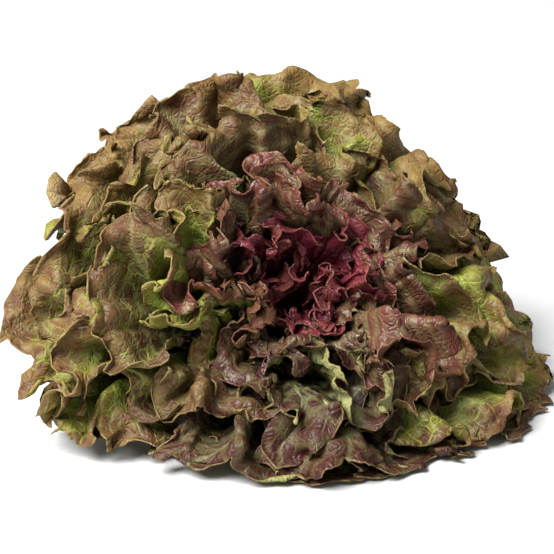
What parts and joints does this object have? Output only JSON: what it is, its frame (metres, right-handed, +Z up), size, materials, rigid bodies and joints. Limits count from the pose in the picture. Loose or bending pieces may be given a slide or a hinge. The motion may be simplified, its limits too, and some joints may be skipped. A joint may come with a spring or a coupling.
{
  "type": "head of red leaf lettuce",
  "caption": "Open, frilled head of red leaf lettuce lying on its side, heart facing forward and up, loose leaves round a short cut stem.",
  "frame": {"origin": "on the table, at the centre of the head's footprint box", "axes": "+X to the right as the heart is seen, along the head's longest side; -Y the way the heart faces; +Z up from the table"},
  "size_m": [0.3048, 0.2266, 0.1841],
  "materials": {
    "heart_leaf": "dark maroon leaf, glossy, finely crinkled",
    "inner_leaf": "maroon leaf with a green-brown base, glossy, frilled margin",
    "middle_leaf": "bronze-red leaf, green in its folds, satin, frilled margin",
    "outer_leaf": "green leaf with a bronze blade, satin, blistered, pale midrib",
    "stem": "pale green cut stem, moist cut face"
  },
  "bodies": {
    "root": {"heart_leaf_01": "heart_leaf", "heart_leaf_02": "heart_leaf", "heart_leaf_03": "heart_leaf", "heart_leaf_04": "heart_leaf", "heart_leaf_05": "heart_leaf", "heart_leaf_06": "heart_leaf", "heart_leaf_07": "heart_leaf", "heart_leaf_08": "heart_leaf", "heart_leaf_09": "heart_leaf", "heart_leaf_10": "heart_leaf", "inner_leaf_01": "inner_leaf", "inner_leaf_02": "inner_leaf", "inner_leaf_03": "inner_leaf", "inner_leaf_04": "inner_leaf", "inner_leaf_05": "inner_leaf", "inner_leaf_06": "inner_leaf", "inner_leaf_07": "inner_leaf", "inner_leaf_08": "inner_leaf", "inner_leaf_09": "inner_leaf", "inner_leaf_10": "inner_leaf", "inner_leaf_11": "inner_leaf", "inner_leaf_12": "inner_leaf", "middle_leaf_01": "middle_leaf", "middle_leaf_02": "middle_leaf", "middle_leaf_03": "middle_leaf", "middle_leaf_04": "middle_leaf", "middle_leaf_05": "middle_leaf", "middle_leaf_06": "middle_leaf", "middle_leaf_07": "middle_leaf", "middle_leaf_08": "middle_leaf", "middle_leaf_09": "middle_leaf", "middle_leaf_10": "middle_leaf", "middle_leaf_11": "middle_leaf", "middle_leaf_12": "middle_leaf", "middle_leaf_13": "middle_leaf", "middle_leaf_14": "middle_leaf", "middle_leaf_15": "middle_leaf", "outer_leaf_01": "outer_leaf", "outer_leaf_02": "outer_leaf", "outer_leaf_03": "outer_leaf", "outer_leaf_04": "outer_leaf", "outer_leaf_05": "outer_leaf", "outer_leaf_06": "outer_leaf", "outer_leaf_07": "outer_leaf", "outer_leaf_08": "outer_leaf", "outer_leaf_09": "outer_leaf", "outer_leaf_10": "outer_leaf", "outer_leaf_11": "outer_leaf", "outer_leaf_12": "outer_leaf", "outer_leaf_13": "outer_leaf", "outer_leaf_14": "outer_leaf", "outer_leaf_15": "outer_leaf", "stem": "stem"}
  },
  "joints": []
}
